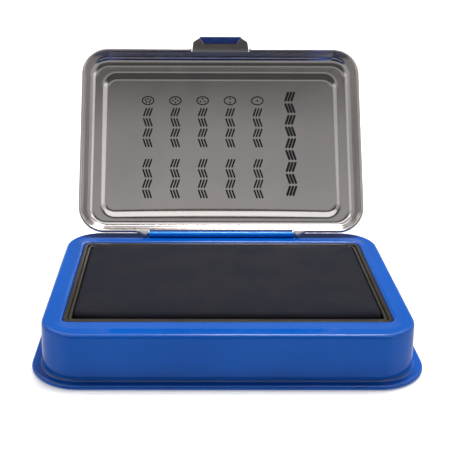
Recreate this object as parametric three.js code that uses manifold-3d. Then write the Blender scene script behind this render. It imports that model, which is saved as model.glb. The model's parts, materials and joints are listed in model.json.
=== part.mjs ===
// A hinged sheet-metal ink pad: a base with an inked pad in its top, and a pressed lid that folds back.
// Millimetres, +Z up. The origin is the middle of the base's underside. The lid is modelled shut, about its
// hinge axis, and then turned back to its open rest.

import * as THREE from 'three';
import { mergeVertices } from 'three/addons/utils/BufferGeometryUtils.js';
import Module from 'manifold-3d';

const wasm = await Module();
wasm.setup();

// ---- Driving dimensions -------------------------------------------------------------------------------

const SHEET = 0.5;              // steel of the base, lid and hinge
const ARC_STEPS = 10;           // segments in a quarter turn of a rounded corner

// Base
const BASE_WIDTH = 130;         // across the top's outer edge
const BASE_DEPTH = 93;
const BASE_HEIGHT = 18.7;
const BASE_CORNER = 14;
const SHOULDER = 1.5;           // rounding between top and sides
const WALL_DRAFT = 0.6;         // how much wider the side is at its foot
const FLANGE_REACH = 4.2;       // foot flange beyond the top's edge
const HEM_HEIGHT = 1.7;         // the flange's rolled edge
const HEM_LIP = 2.6;            // its return under the bottom plate
const FOOT_FILLET = 1;
const PLATE_STEP = 0.6;         // bottom plate's slope from the hem down to its flush middle

// Pad opening in the top
const OPENING_WIDTH = 116;
const OPENING_DEPTH = 71.4;
const OPENING_CORNER = 3.4;
const FRONT_BORDER = 9.4;
const OPENING_Y = -BASE_DEPTH / 2 + FRONT_BORDER + OPENING_DEPTH / 2;
const LIP_ROLL = 0.8;
const LIP_DROP = 3.5;

// Tray, frame and pad
const TRAY_GAP = 0.55;          // from the opening's lip to the tray's rim
const TRAY_WALL = 1.6;
const TRAY_FLOOR_Z = 6;
const TRAY_FLOOR = 1.2;
const TRAY_RIM_Z = BASE_HEIGHT + 0.1;
const TRAY_FLANGE = 3.5;        // flange trapped under the border's lip
const TRAY_FLANGE_SHEET = 1.2;
const RIB_SPACING = 36;
const RIB_LENGTH = 56;
const RIB_WIDTH = 1.8;
const FRAME_WALL = 1.2;
const FRAME_HEIGHT = 5.4;
const FRAME_DROP = 0.35;        // frame top below the tray's rim
const FRAME_CORNER = 2.2;
const FIT_GAP = 0.1;
const PAD_RISE = 2.4;           // pad's top above the base's top
const PAD_SHOULDER = 1.3;
const PAD_CORNER = 1.8;
const CLOTH = 0.6;
const CLOTH_WRAP = 9;           // cloth folded under the board
const BOARD = 1.4;
const FELT = 5.4;

// Lid, in its shut position
const LID_WIDTH = 122.6;
const LID_DEPTH = 83.3;
const LID_CORNER = 11.5;
const LID_LEDGE_DEPTH = 6.4;    // rim plane to the ledge, inside
const LID_PANEL_DEPTH = 7.4;
const BEAD = 1.3;               // rolled edge, thickness and width
const SKIRT_INSET = 2.1;        // inner face of the side, where the fillet starts
const LEDGE_FILLET = 4.2;
const STEP_INSET = 8.2;         // outer edge of the step up to the panel
const PANEL_INSET = 11.2;
const PANEL_CORNER = 3.6;
const STEP_SOFTENING = 0.15;    // height of the step's first and last slope

// Hinge
const LID_OPEN_ANGLE = 122.3;   // degrees from shut to the open stop
const HINGE_Y = 40.6;
const HINGE_RISE = 1.3;         // axis above the base's top
const RIM_GAP = 0.3;            // shut rim above the base's top
const EAR_REACH = 0.65;         // axis behind the lid's rear edge
const EAR_RADIUS = 1.2;
const EAR_THICKNESS = 0.8;
const NOTCH_HALF_OUT = 32.4;    // half length of the rim's notch at its mouth, and at its bottom
const NOTCH_HALF_IN = 30.9;
const NOTCH_DEPTH = 1.55;
const PIN_RADIUS = 0.6;
const PIN_PLAY = 0.08;
const PIN_END = 0.9;            // pin beyond each ear
const BARREL_RADIUS = 1.15;
const LEAF_SHEET = 0.4;
const LEAF_END_GAP = 0.4;       // from the curl's end to the notch's
const STOP_Y = 4.6;             // back of the leaf, behind the axis
const STOP_HEIGHT = 1.4;        // upturned edge that the open lid leans on

// Thumb tab
const TAB_HALF_ROOT = 12.5;
const TAB_HALF_TIP = 9.2;
const TAB_REACH = 5.6;          // beyond the rim
const TAB_CHAMFER = 1.5;
const TAB_LIFT = 0.5;           // tab above the rim plane, so that its fold clears the base when shut
const TAB_HEM = 2.8;
const TAB_HEM_HALF = 7.4;       // half width of the fold's free edge
const TAB_RELIEF = 1.3;         // gap in the bead at each side

// ---- Building blocks ----------------------------------------------------------------------------------

const RIM_LOCAL_Z = -(HINGE_RISE - RIM_GAP);   // rim plane in the lid's frame, whose origin is the axis
const LID_REAR = -EAR_REACH;
const LID_CENTRE_Y = LID_REAR - LID_DEPTH / 2;

/** Turns a closed geometry into a solid that can be joined and cut. */
function toSolid(geometry) {
  const bare = geometry.clone();
  bare.deleteAttribute('normal');
  bare.deleteAttribute('uv');
  const merged = mergeVertices(bare, 1e-4);
  return new wasm.Manifold(new wasm.Mesh({
    numProp: 3,
    vertProperties: new Float32Array(merged.attributes.position.array),
    triVerts: new Uint32Array(merged.index.array),
  }));
}

/** Turns a solid back into a named mesh with a material of its own. */
function toMesh(name, solid, look) {
  const data = solid.getMesh();
  const geometry = new THREE.BufferGeometry();
  geometry.setAttribute('position', new THREE.BufferAttribute(data.vertProperties, 3));
  geometry.setIndex(new THREE.BufferAttribute(data.triVerts, 1));
  geometry.computeVertexNormals();
  const mesh = new THREE.Mesh(geometry, new THREE.MeshStandardMaterial(look));
  mesh.name = name;
  return mesh;
}

const point = (x, y) => new THREE.Vector2(x, y);

/** Points along an arc, both ends included; angles in degrees. */
function arc(x, y, radius, from, to, steps = 4) {
  return Array.from({ length: steps + 1 }, (_, i) => {
    const angle = THREE.MathUtils.degToRad(from + (to - from) * i / steps);
    return point(x + radius * Math.cos(angle), y + radius * Math.sin(angle));
  });
}

/**
 * Sweeps a closed profile round a rounded rectangle: a lathe whose four quarters are moved apart. The profile
 * is (distance from the corner's centre, height), anticlockwise; coreX and coreY are the corner centres.
 */
function sweep(profile, coreX, coreY) {
  const closed = [...profile, profile[0]];
  const perQuarter = ARC_STEPS + 1;
  const lathe = new THREE.LatheGeometry(closed, 4 * perQuarter);
  const position = lathe.attributes.position;
  for (let i = 0; i < position.count; i++) {
    const column = Math.floor(i / closed.length) % (4 * perQuarter);
    const quarter = Math.floor(column / perQuarter);
    const angle = (quarter + (column % perQuarter) / ARC_STEPS - 1) * Math.PI / 2;
    const { x: radius, y: height } = closed[i % closed.length];
    const x = (quarter < 2 ? coreX : -coreX) + radius * Math.cos(angle);
    const y = (quarter === 1 || quarter === 2 ? coreY : -coreY) + radius * Math.sin(angle);
    position.setXYZ(i, x, y, height);
  }
  return toSolid(lathe);
}

/** Rounded rectangle outline centred on (0, y). */
function roundedOutline(width, depth, radius, y = 0, Kind = THREE.Shape) {
  const [x1, y1] = [width / 2, depth / 2];
  const outline = new Kind();
  outline.moveTo(-x1 + radius, y - y1);
  outline.lineTo(x1 - radius, y - y1);
  outline.absarc(x1 - radius, y - y1 + radius, radius, -Math.PI / 2, 0);
  outline.absarc(x1 - radius, y + y1 - radius, radius, 0, Math.PI / 2);
  outline.absarc(-x1 + radius, y + y1 - radius, radius, Math.PI / 2, Math.PI);
  outline.absarc(-x1 + radius, y - y1 + radius, radius, Math.PI, 1.5 * Math.PI);
  return outline;
}

/** A flat plate of the outline, from height z up. */
function plate(outline, z, thickness) {
  const geometry = new THREE.ExtrudeGeometry(outline, {
    depth: thickness, bevelEnabled: false, curveSegments: ARC_STEPS,
  });
  return toSolid(geometry.translate(0, 0, z));
}

/** A box between two corners. */
function box(low, high) {
  const size = high.map((value, i) => value - low[i]);
  const geometry = new THREE.BoxGeometry(...size);
  return toSolid(geometry.translate(...low.map((value, i) => value + size[i] / 2)));
}

/** A YZ outline extruded along X, centred on x = middle. */
function alongX(points, length, middle = 0) {
  const geometry = new THREE.ExtrudeGeometry(new THREE.Shape(points), { depth: length, bevelEnabled: false });
  // The outline's x and y become Y and Z, and its depth becomes X.
  geometry.applyMatrix4(new THREE.Matrix4().makeBasis(
    new THREE.Vector3(0, 1, 0), new THREE.Vector3(0, 0, 1), new THREE.Vector3(1, 0, 0)));
  return toSolid(geometry.translate(middle - length / 2, 0, 0));
}

/** A round rod along X on the hinge axis. */
function rod(radius, length, middle = 0) {
  return alongX(arc(0, 0, radius, 0, 330, 11), length, middle);
}

const PAINT = { color: 0x1b4fa8, roughness: 0.25, metalness: 0 };
const TIN = { color: 0xb9b5b0, roughness: 0.25, metalness: 1 };
const STEEL = { color: 0x8d8d90, roughness: 0.35, metalness: 1 };
const TRAY_PLASTIC = { color: 0x2a2522, roughness: 0.35, metalness: 0 };
const INKED_CLOTH = { color: 0x15161f, roughness: 0.9, metalness: 0 };
const FOAM = { color: 0x1d2340, roughness: 0.95, metalness: 0 };
const FELT_LOOK = { color: 0x1a1d33, roughness: 0.95, metalness: 0 };
const BOARD_LOOK = { color: 0x5d4a35, roughness: 0.8, metalness: 0 };

// ---- Base ---------------------------------------------------------------------------------------------

const BASE_CORE_X = BASE_WIDTH / 2 - BASE_CORNER;
const BASE_CORE_Y = BASE_DEPTH / 2 - BASE_CORNER;
const FLANGE_RADIUS = BASE_CORNER + FLANGE_REACH;
const BORDER_STRIP = 6;         // of the border that is swept with the side
const OVERLAP = 0.3;            // shared by two shapes that are joined

/** Case: foot flange, side, shoulder and border in one sheet, with the rolled lip of the pad opening. */
function baseShell() {
  const foot = BASE_CORNER + WALL_DRAFT;
  const roll = HEM_HEIGHT / 2;
  const rollX = FLANGE_RADIUS - roll;
  const filletX = foot + FOOT_FILLET;
  const filletZ = HEM_HEIGHT + FOOT_FILLET;
  const shoulderX = BASE_CORNER - SHOULDER;
  const shoulderZ = BASE_HEIGHT - SHOULDER;
  const borderEnd = BASE_CORNER - BORDER_STRIP;
  const profile = [
    point(rollX - HEM_LIP, 0),
    ...arc(rollX, roll, roll, -90, 90, 6),
    ...arc(filletX, filletZ, FOOT_FILLET, 270, 180),
    ...arc(shoulderX, shoulderZ, SHOULDER, 0, 90),
    point(borderEnd, BASE_HEIGHT),
    point(borderEnd, BASE_HEIGHT - SHEET),
    ...arc(shoulderX, shoulderZ, SHOULDER - SHEET, 90, 0),
    ...arc(filletX, filletZ, FOOT_FILLET + SHEET, 180, 270),
    ...arc(rollX, roll, roll - SHEET, 90, -90),
    point(rollX - HEM_LIP, SHEET),
  ];
  const side = sweep(profile, BASE_CORE_X, BASE_CORE_Y);

  const rollEdge = OPENING_CORNER + LIP_ROLL;
  const lipEnd = rollEdge + 2 * OVERLAP;
  const lip = sweep([
    point(OPENING_CORNER, BASE_HEIGHT - LIP_DROP),
    point(OPENING_CORNER + SHEET, BASE_HEIGHT - LIP_DROP),
    ...arc(rollEdge, BASE_HEIGHT - LIP_ROLL, LIP_ROLL - SHEET, 180, 90, 3),
    point(lipEnd, BASE_HEIGHT - SHEET),
    point(lipEnd, BASE_HEIGHT),
    ...arc(rollEdge, BASE_HEIGHT - LIP_ROLL, LIP_ROLL, 90, 180),
  ], OPENING_WIDTH / 2 - OPENING_CORNER, OPENING_DEPTH / 2 - OPENING_CORNER).translate(0, OPENING_Y, 0);

  const grow = 2 * (LIP_ROLL + OVERLAP);
  const inset = 2 * (BORDER_STRIP - OVERLAP);
  const outline = roundedOutline(BASE_WIDTH - inset, BASE_DEPTH - inset, borderEnd + OVERLAP);
  outline.holes.push(roundedOutline(OPENING_WIDTH + grow, OPENING_DEPTH + grow,
    OPENING_CORNER + grow / 2, OPENING_Y, THREE.Path));
  const border = plate(outline, BASE_HEIGHT - SHEET, SHEET);
  return toMesh('base_shell', side.add(border).add(lip), PAINT);
}

/** Plate that closes the case: its edge lies in the foot hem, and its middle is pressed down flush. */
function bottomPlate() {
  const edgeZ = SHEET + FIT_GAP;
  const edgeEnd = FLANGE_RADIUS - HEM_HEIGHT / 2 - 3 * FIT_GAP;
  const slopeTop = FLANGE_RADIUS - HEM_HEIGHT / 2 - HEM_LIP - SHEET;
  const slopeFoot = slopeTop - PLATE_STEP;
  const middleEdge = slopeFoot - PLATE_STEP;
  const edge = sweep([
    point(middleEdge - OVERLAP, 0),
    point(slopeFoot, 0),
    point(slopeTop, edgeZ),
    point(edgeEnd, edgeZ),
    point(edgeEnd, edgeZ + SHEET),
    point(slopeTop - SHEET / 2, edgeZ + SHEET),
    point(slopeFoot - SHEET / 2, SHEET),
    point(middleEdge - OVERLAP, SHEET),
  ], BASE_CORE_X, BASE_CORE_Y);
  const inset = 2 * (BASE_CORNER - middleEdge);
  const middle = plate(roundedOutline(BASE_WIDTH - inset, BASE_DEPTH - inset, middleEdge), 0, SHEET);
  return toMesh('bottom_plate', edge.add(middle), STEEL);
}

/** Strip welded to the border: curled round the pin in front, turned up at the back as the lid's stop. */
function hingeLeaf() {
  const length = 2 * (NOTCH_HALF_IN - LEAF_END_GAP);
  const underside = -HINGE_RISE;
  const outline = new THREE.Shape([
    ...arc(0, 0, BARREL_RADIUS, 0, 285, 12),
    point(BARREL_RADIUS * 0.5, underside),
    point(STOP_Y, underside),
    point(STOP_Y, underside + STOP_HEIGHT),
    point(STOP_Y - LEAF_SHEET, underside + STOP_HEIGHT),
    point(STOP_Y - LEAF_SHEET, underside + LEAF_SHEET),
    point(BARREL_RADIUS, underside + LEAF_SHEET),
  ]);
  const solid = alongX(outline.getPoints(), length).subtract(rod(PIN_RADIUS + PIN_PLAY, LID_WIDTH));
  return toMesh('hinge_leaf', solid.translate(0, HINGE_Y, BASE_HEIGHT + HINGE_RISE), PAINT);
}

/** Wire through the curl and both of the lid's ears. */
function hingePin() {
  const length = 2 * (NOTCH_HALF_OUT + EAR_THICKNESS + PIN_END);
  return toMesh('hinge_pin', rod(PIN_RADIUS, length).translate(0, HINGE_Y, BASE_HEIGHT + HINGE_RISE), STEEL);
}

// ---- Tray and pad -------------------------------------------------------------------------------------

const TRAY_HALF_X = OPENING_WIDTH / 2 - TRAY_GAP;
const TRAY_HALF_Y = OPENING_DEPTH / 2 - TRAY_GAP;
const TRAY_CORNER = OPENING_CORNER - TRAY_GAP;
const FRAME_OUTER_X = TRAY_HALF_X - TRAY_WALL - FIT_GAP;
const FRAME_OUTER_Y = TRAY_HALF_Y - TRAY_WALL - FIT_GAP;
const PAD_HALF_X = FRAME_OUTER_X - FRAME_WALL - FIT_GAP;
const PAD_HALF_Y = FRAME_OUTER_Y - FRAME_WALL - FIT_GAP;
const PAD_TOP_Z = BASE_HEIGHT + PAD_RISE;
const CLOTH_BOTTOM_Z = TRAY_FLOOR_Z + TRAY_FLOOR;
const BOARD_Z = CLOTH_BOTTOM_Z + CLOTH + FIT_GAP;
const FELT_Z = BOARD_Z + BOARD;
const FOAM_Z = FELT_Z + FELT;

/** Dish that holds the pad: rounded rim, a flange trapped under the border's lip, and ribs to stand on. */
function inkTray() {
  const edge = 0.35;
  const flangeTop = BASE_HEIGHT - LIP_DROP - OVERLAP;
  const flangeEnd = TRAY_CORNER + TRAY_FLANGE;
  const wall = sweep([
    point(TRAY_CORNER - TRAY_WALL, TRAY_FLOOR_Z),
    point(TRAY_CORNER, TRAY_FLOOR_Z),
    point(TRAY_CORNER, flangeTop - TRAY_FLANGE_SHEET),
    point(flangeEnd, flangeTop - TRAY_FLANGE_SHEET),
    point(flangeEnd, flangeTop),
    point(TRAY_CORNER, flangeTop),
    ...arc(TRAY_CORNER - edge, TRAY_RIM_Z - edge, edge, 0, 90, 3),
    ...arc(TRAY_CORNER - TRAY_WALL + edge, TRAY_RIM_Z - edge, edge, 90, 180, 3),
  ], TRAY_HALF_X - TRAY_CORNER, TRAY_HALF_Y - TRAY_CORNER);
  const floor = plate(roundedOutline(2 * TRAY_HALF_X - 1, 2 * TRAY_HALF_Y - 1, TRAY_CORNER - 0.5),
    TRAY_FLOOR_Z, TRAY_FLOOR);
  let tray = wall.add(floor);
  for (const x of [-RIB_SPACING, 0, RIB_SPACING]) {
    tray = tray.add(box([x - RIB_WIDTH / 2, -RIB_LENGTH / 2, SHEET],
      [x + RIB_WIDTH / 2, RIB_LENGTH / 2, TRAY_FLOOR_Z + OVERLAP]));
  }
  return toMesh('ink_tray', tray.translate(0, OPENING_Y, 0), TRAY_PLASTIC);
}

/** Frame pressed into the tray, which grips the cloth's sides. */
function padFrame() {
  const [outer, inner] = [FRAME_CORNER, FRAME_CORNER - FRAME_WALL];
  const top = TRAY_RIM_Z - FRAME_DROP;
  const edge = 0.3;
  const solid = sweep([
    point(inner, top - FRAME_HEIGHT),
    point(outer, top - FRAME_HEIGHT),
    ...arc(outer - edge, top - edge, edge, 0, 90, 3),
    ...arc(inner + edge, top - edge, edge, 90, 180, 3),
  ], FRAME_OUTER_X - outer, FRAME_OUTER_Y - outer);
  return toMesh('pad_frame', solid.translate(0, OPENING_Y, 0), TRAY_PLASTIC);
}

/** Cloth drawn over the layers, down the sides, and folded under the board. */
function padCloth() {
  const coreX = PAD_HALF_X - PAD_CORNER;
  const coreY = PAD_HALF_Y - PAD_CORNER;
  const inner = 0.2;
  const edge = sweep([
    point(inner, CLOTH_BOTTOM_Z),
    point(PAD_CORNER, CLOTH_BOTTOM_Z),
    ...arc(PAD_CORNER - PAD_SHOULDER, PAD_TOP_Z - PAD_SHOULDER, PAD_SHOULDER, 0, 90),
    point(inner, PAD_TOP_Z),
  ], coreX, coreY);
  const [boxX, boxY] = [coreX + inner + FIT_GAP, coreY + inner + FIT_GAP];
  const solid = edge
    .add(box([-boxX, -boxY, CLOTH_BOTTOM_Z], [boxX, boxY, PAD_TOP_Z]))
    .subtract(layerSpace(CLOTH))
    .subtract(box([-PAD_HALF_X + CLOTH_WRAP, -PAD_HALF_Y + CLOTH_WRAP, CLOTH_BOTTOM_Z - 1],
      [PAD_HALF_X - CLOTH_WRAP, PAD_HALF_Y - CLOTH_WRAP, BOARD_Z]));
  return toMesh('pad_cloth', solid.translate(0, OPENING_Y, 0), INKED_CLOTH);
}

/** The room inside the cloth. */
function layerSpace(skin) {
  return plate(roundedOutline(2 * (PAD_HALF_X - skin), 2 * (PAD_HALF_Y - skin), 1.2),
    CLOTH_BOTTOM_Z + skin, PAD_TOP_Z - CLOTH_BOTTOM_Z - 2 * skin);
}

/** One flat layer inside the cloth. */
function layer(name, z, top, look) {
  const skin = CLOTH + FIT_GAP;
  const outline = roundedOutline(2 * (PAD_HALF_X - skin), 2 * (PAD_HALF_Y - skin), 1.1, OPENING_Y);
  return toMesh(name, plate(outline, z, top - z), look);
}

// ---- Lid ----------------------------------------------------------------------------------------------

/** Pan of the lid, rim down: bead, side, fillet and ledge, then the step up to the panel. */
function lidPan() {
  const skirt = LID_CORNER - SKIRT_INSET;
  const filletX = skirt - LEDGE_FILLET;
  const filletZ = LID_LEDGE_DEPTH - LEDGE_FILLET;
  const bead = BEAD / 2;
  const beadX = LID_CORNER - bead;
  const ledgeEnd = LID_CORNER - STEP_INSET - 2 * OVERLAP;
  const pan = sweep([
    point(ledgeEnd, LID_LEDGE_DEPTH),
    ...arc(filletX, filletZ, LEDGE_FILLET, 90, 0),
    point(beadX - bead * 0.95, bead * 1.3),
    ...arc(beadX, bead, bead, 180, 410, 8),
    ...arc(filletX, filletZ, LEDGE_FILLET + SHEET, 0, 90),
    point(ledgeEnd, LID_LEDGE_DEPTH + SHEET),
  ], LID_WIDTH / 2 - LID_CORNER, LID_DEPTH / 2 - LID_CORNER);

  const stepOut = PANEL_CORNER + PANEL_INSET - STEP_INSET;
  const stepRun = SHEET;
  const stepInner = PANEL_CORNER - 2 * OVERLAP;
  const stepOuter = stepOut + 4 * OVERLAP;
  const step = sweep([
    point(stepInner, LID_PANEL_DEPTH),
    point(PANEL_CORNER, LID_PANEL_DEPTH),
    point(PANEL_CORNER + stepRun, LID_PANEL_DEPTH - STEP_SOFTENING),
    point(stepOut - stepRun, LID_LEDGE_DEPTH + STEP_SOFTENING),
    point(stepOut, LID_LEDGE_DEPTH),
    point(stepOuter, LID_LEDGE_DEPTH),
    point(stepOuter, LID_LEDGE_DEPTH + SHEET),
    point(stepOut + STEP_SOFTENING, LID_LEDGE_DEPTH + SHEET),
    point(PANEL_CORNER + 2 * STEP_SOFTENING, LID_PANEL_DEPTH + SHEET),
    point(stepInner, LID_PANEL_DEPTH + SHEET),
  ], LID_WIDTH / 2 - PANEL_INSET - PANEL_CORNER, LID_DEPTH / 2 - PANEL_INSET - PANEL_CORNER);

  const inset = 2 * (PANEL_INSET + OVERLAP);
  const panel = plate(roundedOutline(LID_WIDTH - inset, LID_DEPTH - inset, PANEL_CORNER - OVERLAP),
    LID_PANEL_DEPTH, SHEET);
  const ledge = plate(ledgeOutline(), LID_LEDGE_DEPTH, SHEET);
  return pan.add(ledge).add(step).add(panel).translate(0, LID_CENTRE_Y, RIM_LOCAL_Z);
}

/** The flat ledge, from inside the fillet to the foot of the step. */
function ledgeOutline() {
  const outer = SKIRT_INSET + LEDGE_FILLET + 2 * OVERLAP;
  const inner = STEP_INSET - 2 * OVERLAP;
  const outline = roundedOutline(LID_WIDTH - 2 * outer, LID_DEPTH - 2 * outer, LID_CORNER - outer);
  outline.holes.push(roundedOutline(LID_WIDTH - 2 * inner, LID_DEPTH - 2 * inner,
    PANEL_CORNER + PANEL_INSET - inner, 0, THREE.Path));
  return outline;
}

/** Wedge cut out of the rear rim, with slanting ends, to clear the hinge curl. */
function hingeNotch() {
  const outline = new THREE.Shape([
    point(-NOTCH_HALF_OUT, -1), point(NOTCH_HALF_OUT, -1),
    point(NOTCH_HALF_IN, NOTCH_DEPTH), point(-NOTCH_HALF_IN, NOTCH_DEPTH),
  ]);
  const reach = 4;
  const geometry = new THREE.ExtrudeGeometry(outline, { depth: reach, bevelEnabled: false });
  geometry.rotateX(Math.PI / 2);
  return toSolid(geometry.translate(0, LID_REAR + 0.5, RIM_LOCAL_Z));
}

/** One ear: a lug on the rim beside the notch, drilled for the pin. */
function hingeEar(side) {
  const lug = [
    ...arc(0, 0, EAR_RADIUS, -90, 90, 8),
    point(LID_REAR - BEAD * 0.6, EAR_RADIUS),
    point(LID_REAR - BEAD * 0.6, RIM_LOCAL_Z),
  ];
  return alongX(lug, EAR_THICKNESS, side * (NOTCH_HALF_OUT + EAR_THICKNESS / 2));
}

/** Plate of the thumb tab with its corners clipped and its front edge folded under. */
function thumbTab() {
  const front = LID_REAR - LID_DEPTH;
  const tip = front - TAB_REACH;
  const root = front + BEAD * 0.95;
  const outline = new THREE.Shape([
    point(-TAB_HALF_ROOT, root), point(-TAB_HALF_ROOT, front),
    point(-TAB_HALF_TIP - TAB_CHAMFER * 0.8, tip + TAB_CHAMFER), point(-TAB_HALF_TIP, tip),
    point(TAB_HALF_TIP, tip), point(TAB_HALF_TIP + TAB_CHAMFER * 0.8, tip + TAB_CHAMFER),
    point(TAB_HALF_ROOT, front), point(TAB_HALF_ROOT, root),
  ]);
  const hem = new THREE.Shape([
    point(-TAB_HALF_TIP + 0.1, tip), point(TAB_HALF_TIP - 0.1, tip),
    point(TAB_HEM_HALF, tip + TAB_HEM), point(-TAB_HEM_HALF, tip + TAB_HEM),
  ]);
  const z = RIM_LOCAL_Z + TAB_LIFT;
  return plate(outline, z, SHEET).add(plate(hem, z - SHEET, SHEET));
}

/** Gap in the front bead where the tab grows out of the side. */
function tabRelief() {
  const half = TAB_HALF_ROOT + TAB_RELIEF;
  const front = LID_REAR - LID_DEPTH;
  return box([-half, front - 1, RIM_LOCAL_Z - 1], [half, front + BEAD * 0.75, RIM_LOCAL_Z + BEAD + 0.1]);
}

function lidShell() {
  const solid = lidPan()
    .subtract(hingeNotch())
    .subtract(tabRelief())
    .add(hingeEar(-1))
    .add(hingeEar(1))
    .add(thumbTab())
    .subtract(rod(PIN_RADIUS + PIN_PLAY, LID_WIDTH));
  return toMesh('lid_shell', solid, TIN);
}

// ---- Assembly -----------------------------------------------------------------------------------------

const inkPad = new THREE.Group();
inkPad.add(
  baseShell(),
  bottomPlate(),
  hingeLeaf(),
  hingePin(),
  inkTray(),
  padFrame(),
  padCloth(),
  layer('backing_board', BOARD_Z, FELT_Z, BOARD_LOOK),
  layer('reservoir_felt', FELT_Z, FOAM_Z, FELT_LOOK),
  layer('pad_foam', FOAM_Z, PAD_TOP_Z - CLOTH - FIT_GAP, FOAM),
);

const lidHinge = new THREE.Group();
lidHinge.position.set(0, HINGE_Y, BASE_HEIGHT + HINGE_RISE);
lidHinge.rotation.x = -THREE.MathUtils.degToRad(LID_OPEN_ANGLE);
lidHinge.add(lidShell());
inkPad.add(lidHinge);

export default inkPad;
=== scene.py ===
"""Looks of a hinged sheet-metal ink pad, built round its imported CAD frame. Metres, +Z up."""
import json
import math

import bmesh
import bpy
from mathutils import Matrix, Vector


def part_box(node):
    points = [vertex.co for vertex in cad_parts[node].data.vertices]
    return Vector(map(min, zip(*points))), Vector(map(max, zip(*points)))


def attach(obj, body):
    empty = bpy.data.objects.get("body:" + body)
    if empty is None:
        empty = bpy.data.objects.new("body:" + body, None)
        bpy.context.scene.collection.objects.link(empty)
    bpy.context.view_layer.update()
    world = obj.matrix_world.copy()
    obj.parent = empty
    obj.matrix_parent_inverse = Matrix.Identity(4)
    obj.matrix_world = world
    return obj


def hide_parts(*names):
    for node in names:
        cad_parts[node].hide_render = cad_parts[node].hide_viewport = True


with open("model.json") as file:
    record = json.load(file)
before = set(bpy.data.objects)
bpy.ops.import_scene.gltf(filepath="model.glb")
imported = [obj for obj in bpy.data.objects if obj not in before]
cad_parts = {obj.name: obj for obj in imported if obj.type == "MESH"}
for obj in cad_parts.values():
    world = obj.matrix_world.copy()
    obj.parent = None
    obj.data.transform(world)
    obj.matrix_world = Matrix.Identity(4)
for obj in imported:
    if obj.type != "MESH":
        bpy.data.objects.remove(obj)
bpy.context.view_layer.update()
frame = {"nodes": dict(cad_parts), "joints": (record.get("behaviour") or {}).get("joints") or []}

MM = 0.001

# Segments in a quarter turn of a plan corner, in bends and rolls of a section, and in its small edges
CORNER_STEPS = 16
BEND_STEPS = 8
ROLL_STEPS = 10
EDGE_STEPS = 5
CREASE, SOFT_CREASE = 35, 60    # degrees past which an edge is shaded sharp
FACE_WEIGHT = 80                # how far large faces govern the shading of a bend
MITRE_LIMIT = 0.5               # least cosine that a mitre is worked out with

# ---- Sizes: where things are comes from the frame, how sheet is bent is set here ----------------------

base_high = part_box("base_shell")[1]
tray_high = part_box("ink_tray")[1]
frame_low, frame_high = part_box("pad_frame")
cloth_low, cloth_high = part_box("pad_cloth")
foam_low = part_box("pad_foam")[0]
leaf_low, leaf_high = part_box("hinge_leaf")
pin_low, pin_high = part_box("hinge_pin")
lid_joint = frame["joints"][0]
HINGE = Vector(lid_joint["pos_m"])
OPEN_ANGLE = math.radians(lid_joint["range_deg"][1])

SHEET = 0.45 * MM               # thickness of the base's, lid's and bottom plate's sheet

# Base
BASE_TOP = base_high.z
FLANGE_REACH = 4.2 * MM         # foot flange beyond the top's edge
BASE_X = base_high.x - FLANGE_REACH
BASE_Y = base_high.y - FLANGE_REACH
BASE_CORNER = 14 * MM
SHOULDER = 1.5 * MM
WALL_DRAFT = 0.6 * MM
HEM_HEIGHT = 1.7 * MM
HEM_LIP = 2.6 * MM              # how far the foot's sheet runs back under
FOOT_FILLET = 1.0 * MM

# Bottom plate
PLATE_LIFT = 0.12 * MM          # its edge above the hem's sheet
PLATE_END_GAP = 0.3 * MM
PLATE_LIP_GAP = 0.5 * MM
PLATE_SLOPE = 0.6 * MM
PLATE_BORDER = 2 * MM           # flush border before the plain middle

# Pad opening, tray, frame and pad
PAD_Y = (cloth_low.y + cloth_high.y) / 2
TRAY_GAP = 0.55 * MM
TRAY_WALL = 1.6 * MM
TRAY_FLANGE = 3.5 * MM
TRAY_X = tray_high.x - TRAY_FLANGE
TRAY_Y = tray_high.y - PAD_Y - TRAY_FLANGE
TRAY_SEAT_GAP = 0.3 * MM        # between the trapped flange and the opening's lip
TRAY_PLATE = 1.2 * MM           # thickness of the flange and the floor
TRAY_EDGE = 0.4 * MM
TRAY_FLOOR_Z = 6 * MM
TRAY_FLOOR_STEP = 2 * MM        # flat border of the floor, before its plain middle
TRAY_CORNER = 2.85 * MM
OPENING_X = TRAY_X + TRAY_GAP
OPENING_Y = TRAY_Y + TRAY_GAP
OPENING_CORNER = TRAY_CORNER + TRAY_GAP
LIP_ROLL = 0.8 * MM
LIP_STEPS = 7
LIP_DROP = 3.5 * MM
PAD_SHRINK = 0.2 * MM           # the pad starts smaller than its CAD solid, at the sides
PAD_SWELL = 0.45 * MM           # and at the top
PAD_CORNER = 3 * MM
LEAST_CORNER = 0.5 * MM         # smallest corner of a ring, however far inset
PAD_LOW_EDGE = 0.8 * MM
PAD_LOW_STEPS = 4
PAD_ROLL_IN, PAD_ROLL_DOWN = 4 * MM, 1.9 * MM
PAD_MIDDLE = 2 * MM             # flat border inside the rolled edge, before the plain middle
FOAM_INSET = 0.9 * MM
FRAME_WALL = 1.2 * MM
FRAME_EDGE = 0.32 * MM
FRAME_CORNER = 2.2 * MM

# The pad's cloth, and its swelling
THREAD = 0.32 * MM              # pitch of the weave
VOXEL = 1.2 * MM
GRIP_DEPTH = 1 * MM             # the frame holds the cloth from this far below its top
SWELL_CAP = 0.5 * MM
SWELL_FRAMES = 20
SWELL_QUALITY = 6
SWELL_PRESSURE = 4
SWELL_STRETCH = 30              # the cloth's stiffness against tension and compression
SWELL_BEND = 2
EASE_BEFORE, EASE_AFTER = 4, 6  # rounds of smoothing before and after

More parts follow.
